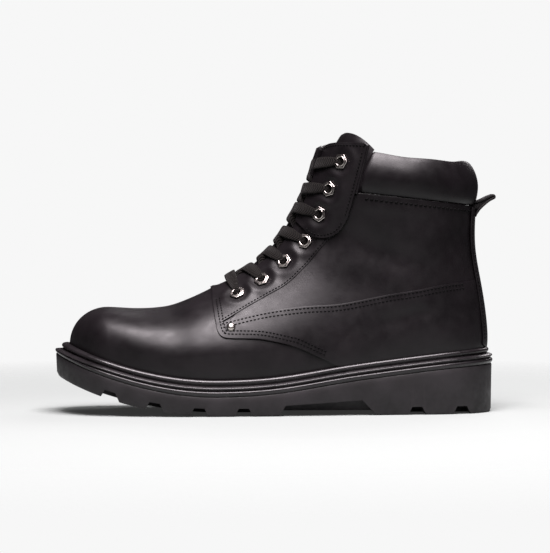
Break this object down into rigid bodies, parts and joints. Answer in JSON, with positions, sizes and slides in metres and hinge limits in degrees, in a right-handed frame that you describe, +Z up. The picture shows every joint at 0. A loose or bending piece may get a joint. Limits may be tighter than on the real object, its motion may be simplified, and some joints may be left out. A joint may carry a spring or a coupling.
{
  "type": "safety boot",
  "caption": "Ankle-height lace-up safety boot in smooth black leather, with a padded collar, hexagonal metal eyelets and a lugged rubber sole.",
  "frame": {"origin": "on the floor under the middle of the boot's box", "axes": "+Z up, -X towards the toe, +X towards the heel, -Y towards the outer (lateral) side of this left boot"},
  "size_m": [0.3071, 0.1103, 0.1949],
  "materials": {
    "leather": "smooth black leather, semi-gloss",
    "padding": "soft black leather over foam",
    "rubber": "matte black moulded rubber",
    "footbed": "dark grey felted footbed",
    "braid": "flat black braid and tape",
    "nickel": "bright nickel plate"
  },
  "bodies": {
    "root": {"outsole": "rubber", "midsole": "rubber", "insole": "footbed", "upper": "leather", "collar": "padding", "backstay": "leather", "pull_loop": "braid", "tongue": "padding", "eyelet_patch_lateral": "leather", "eyelet_patch_medial": "leather", "rivet_lateral": "nickel", "rivet_medial": "nickel", "eyelet_lateral_1": "nickel", "eyelet_lateral_2": "nickel", "eyelet_lateral_3": "nickel", "eyelet_lateral_4": "nickel", "eyelet_lateral_5": "nickel", "eyelet_lateral_6": "nickel", "eyelet_lateral_7": "nickel", "eyelet_medial_1": "nickel", "eyelet_medial_2": "nickel", "eyelet_medial_3": "nickel", "eyelet_medial_4": "nickel", "eyelet_medial_5": "nickel", "eyelet_medial_6": "nickel", "eyelet_medial_7": "nickel", "lace_bar": "braid", "lace_cross_1": "braid", "lace_cross_2": "braid", "lace_cross_3": "braid", "lace_cross_4": "braid", "lace_cross_5": "braid", "lace_cross_6": "braid"}
  },
  "joints": []
}
